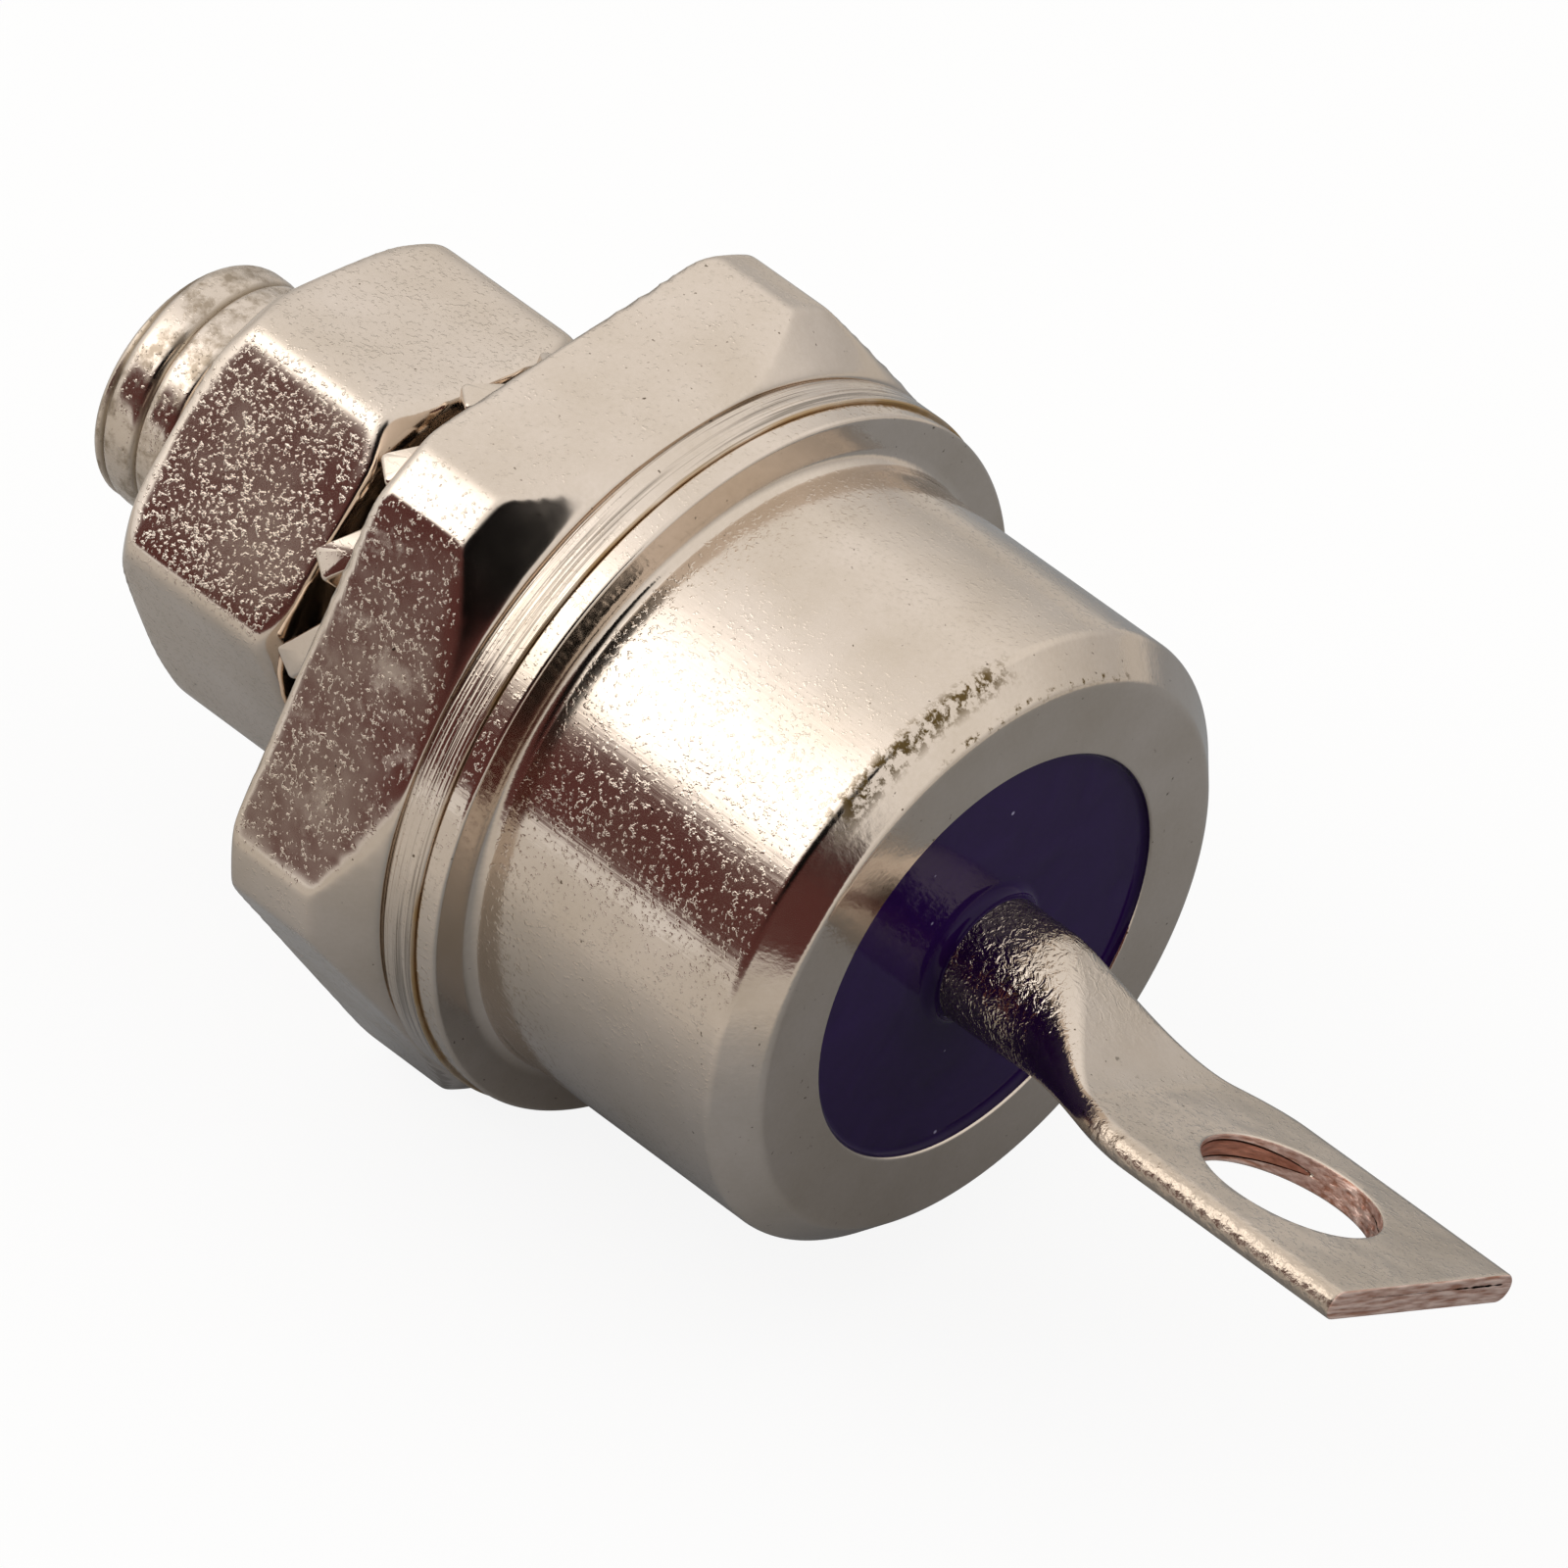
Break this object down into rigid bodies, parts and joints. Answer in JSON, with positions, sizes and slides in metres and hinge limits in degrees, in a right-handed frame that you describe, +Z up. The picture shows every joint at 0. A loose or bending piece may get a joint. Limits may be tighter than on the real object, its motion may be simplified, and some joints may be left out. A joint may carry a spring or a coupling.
{
  "type": "stud diode",
  "caption": "Stud-mount power diode: hexagon base with threaded stud, welded cap, glass seal and a flat tab with a hole, with a loose nut and star washer.",
  "frame": {"origin": "middle of the seat, the face of the hexagon that meets the heat sink, on the diode's axis", "axes": "+X along the axis from the seat towards the terminal, +Z up with one flat of the hexagon facing down, +Y to complete the right-handed frame"},
  "size_m": [0.0373, 0.0194, 0.0174],
  "materials": {
    "nickel_plate": "satin nickel plate, warm grey",
    "seal_glass": "opaque dark blue-violet sealing glass, fire polished",
    "bare_copper": "bare copper",
    "solder": "soft solder, dull grey",
    "molybdenum": "ground molybdenum",
    "silicon": "polished silicon, dark grey",
    "silicone_rubber": "white silicone coat"
  },
  "bodies": {
    "root": {"base_stud": "nickel_plate", "weld_ring": "nickel_plate", "cap": "nickel_plate", "glass_seal": "seal_glass", "terminal_tube": "nickel_plate", "inner_lead": "bare_copper", "solder_base": "solder", "lower_moly_disc": "molybdenum", "solder_die_lower": "solder", "silicon_die": "silicon", "solder_die_upper": "solder", "upper_moly_disc": "molybdenum", "solder_lead": "solder", "junction_coat": "silicone_rubber", "lock_washer": "nickel_plate", "hex_nut": "nickel_plate"}
  },
  "joints": []
}
